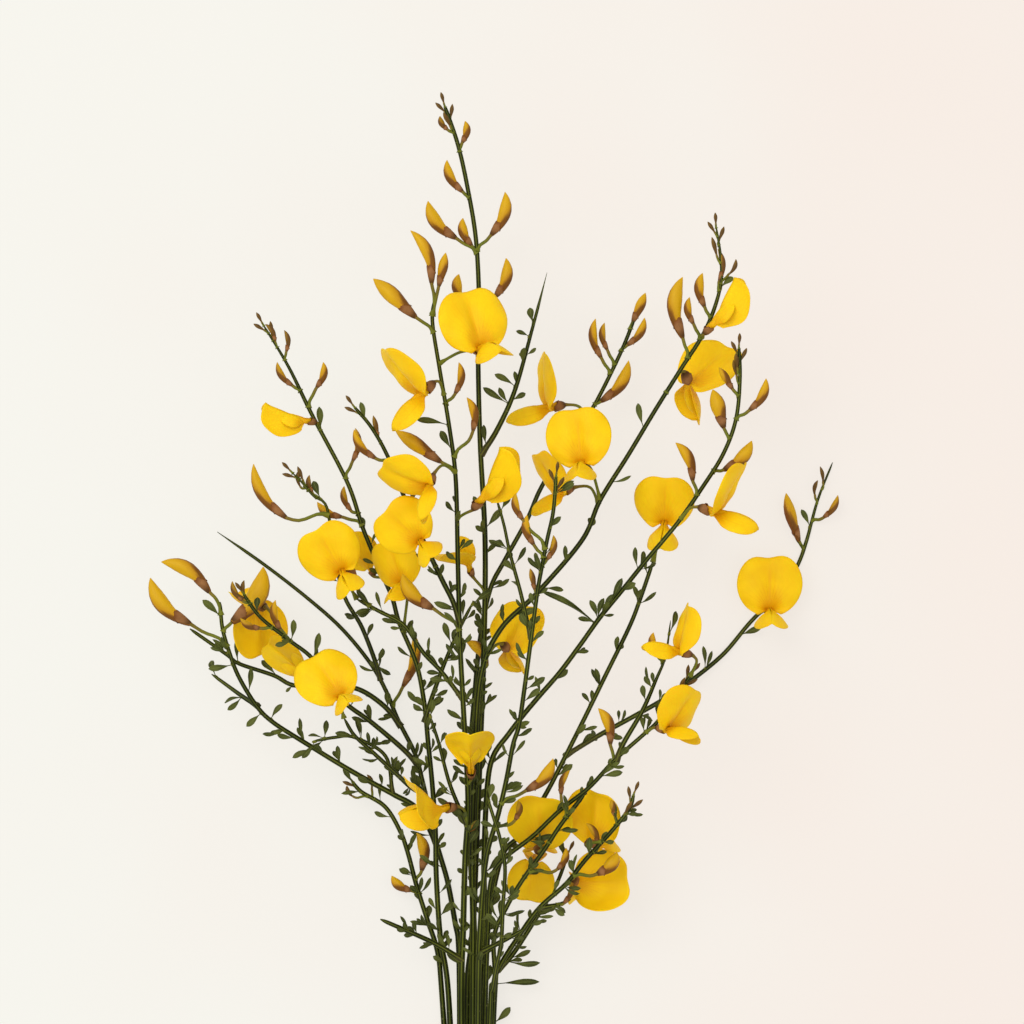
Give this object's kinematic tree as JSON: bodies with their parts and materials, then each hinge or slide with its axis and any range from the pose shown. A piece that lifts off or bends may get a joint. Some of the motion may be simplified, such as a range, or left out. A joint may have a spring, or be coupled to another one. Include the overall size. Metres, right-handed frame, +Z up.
{
  "type": "flowering broom bunch",
  "caption": "Loose cut bunch of flowering broom lying on its side: thin ribbed green stems with side shoots, leaflets and buds, and open yellow pea flowers.",
  "frame": {"origin": "on the surface that the bunch lies on, under the stem in the middle of the bundle, 60 mm in from the cut ends", "axes": "+Y along the stems towards the tips, +Z up from the surface, +X across the bunch"},
  "size_m": [0.2074, 0.3396, 0.0708],
  "materials": {
    "stem": "satin",
    "petal": "matte"
  },
  "bodies": {
    "root": {"stem_left_lowest": "stem", "stem_left_spread": "stem", "stem_inner_right": "stem", "stem_far_right": "stem", "stem_lowest_right": "stem", "stem_left_upper": "stem", "stem_tall": "stem", "stem_low_right": "stem", "stem_left_tall": "stem", "stem_high_right": "stem", "stem_mid_right": "stem", "stem_thin": "stem", "stem_middle": "stem", "bloom_top_left_front": "petal", "bloom_top_left_side": "petal", "bloom_left_third": "petal", "bloom_left_fourth": "petal", "bloom_left_fifth": "petal", "bloom_left_front": "petal", "bloom_left_behind": "petal", "bloom_centre_half": "petal", "bloom_centre_behind": "petal", "bloom_centre_low": "petal", "bloom_tall_bud": "petal", "bloom_inner_side": "petal", "bloom_inner_behind": "petal", "bloom_right_front": "petal", "bloom_high_back": "petal", "bloom_high_half": "petal", "bloom_mid_front": "petal", "bloom_mid_side": "petal", "bloom_far_front": "petal", "bloom_low_side": "petal", "bloom_low_front": "petal", "bloom_under_left": "petal", "bloom_under_right": "petal", "bloom_lowest_right": "petal", "bloom_under_low": "petal", "bloom_drooping_centre": "petal", "bloom_drooping_left": "petal", "bloom_spread_front": "petal", "bloom_spread_left": "petal", "bloom_spread_low": "petal"}
  },
  "joints": []
}
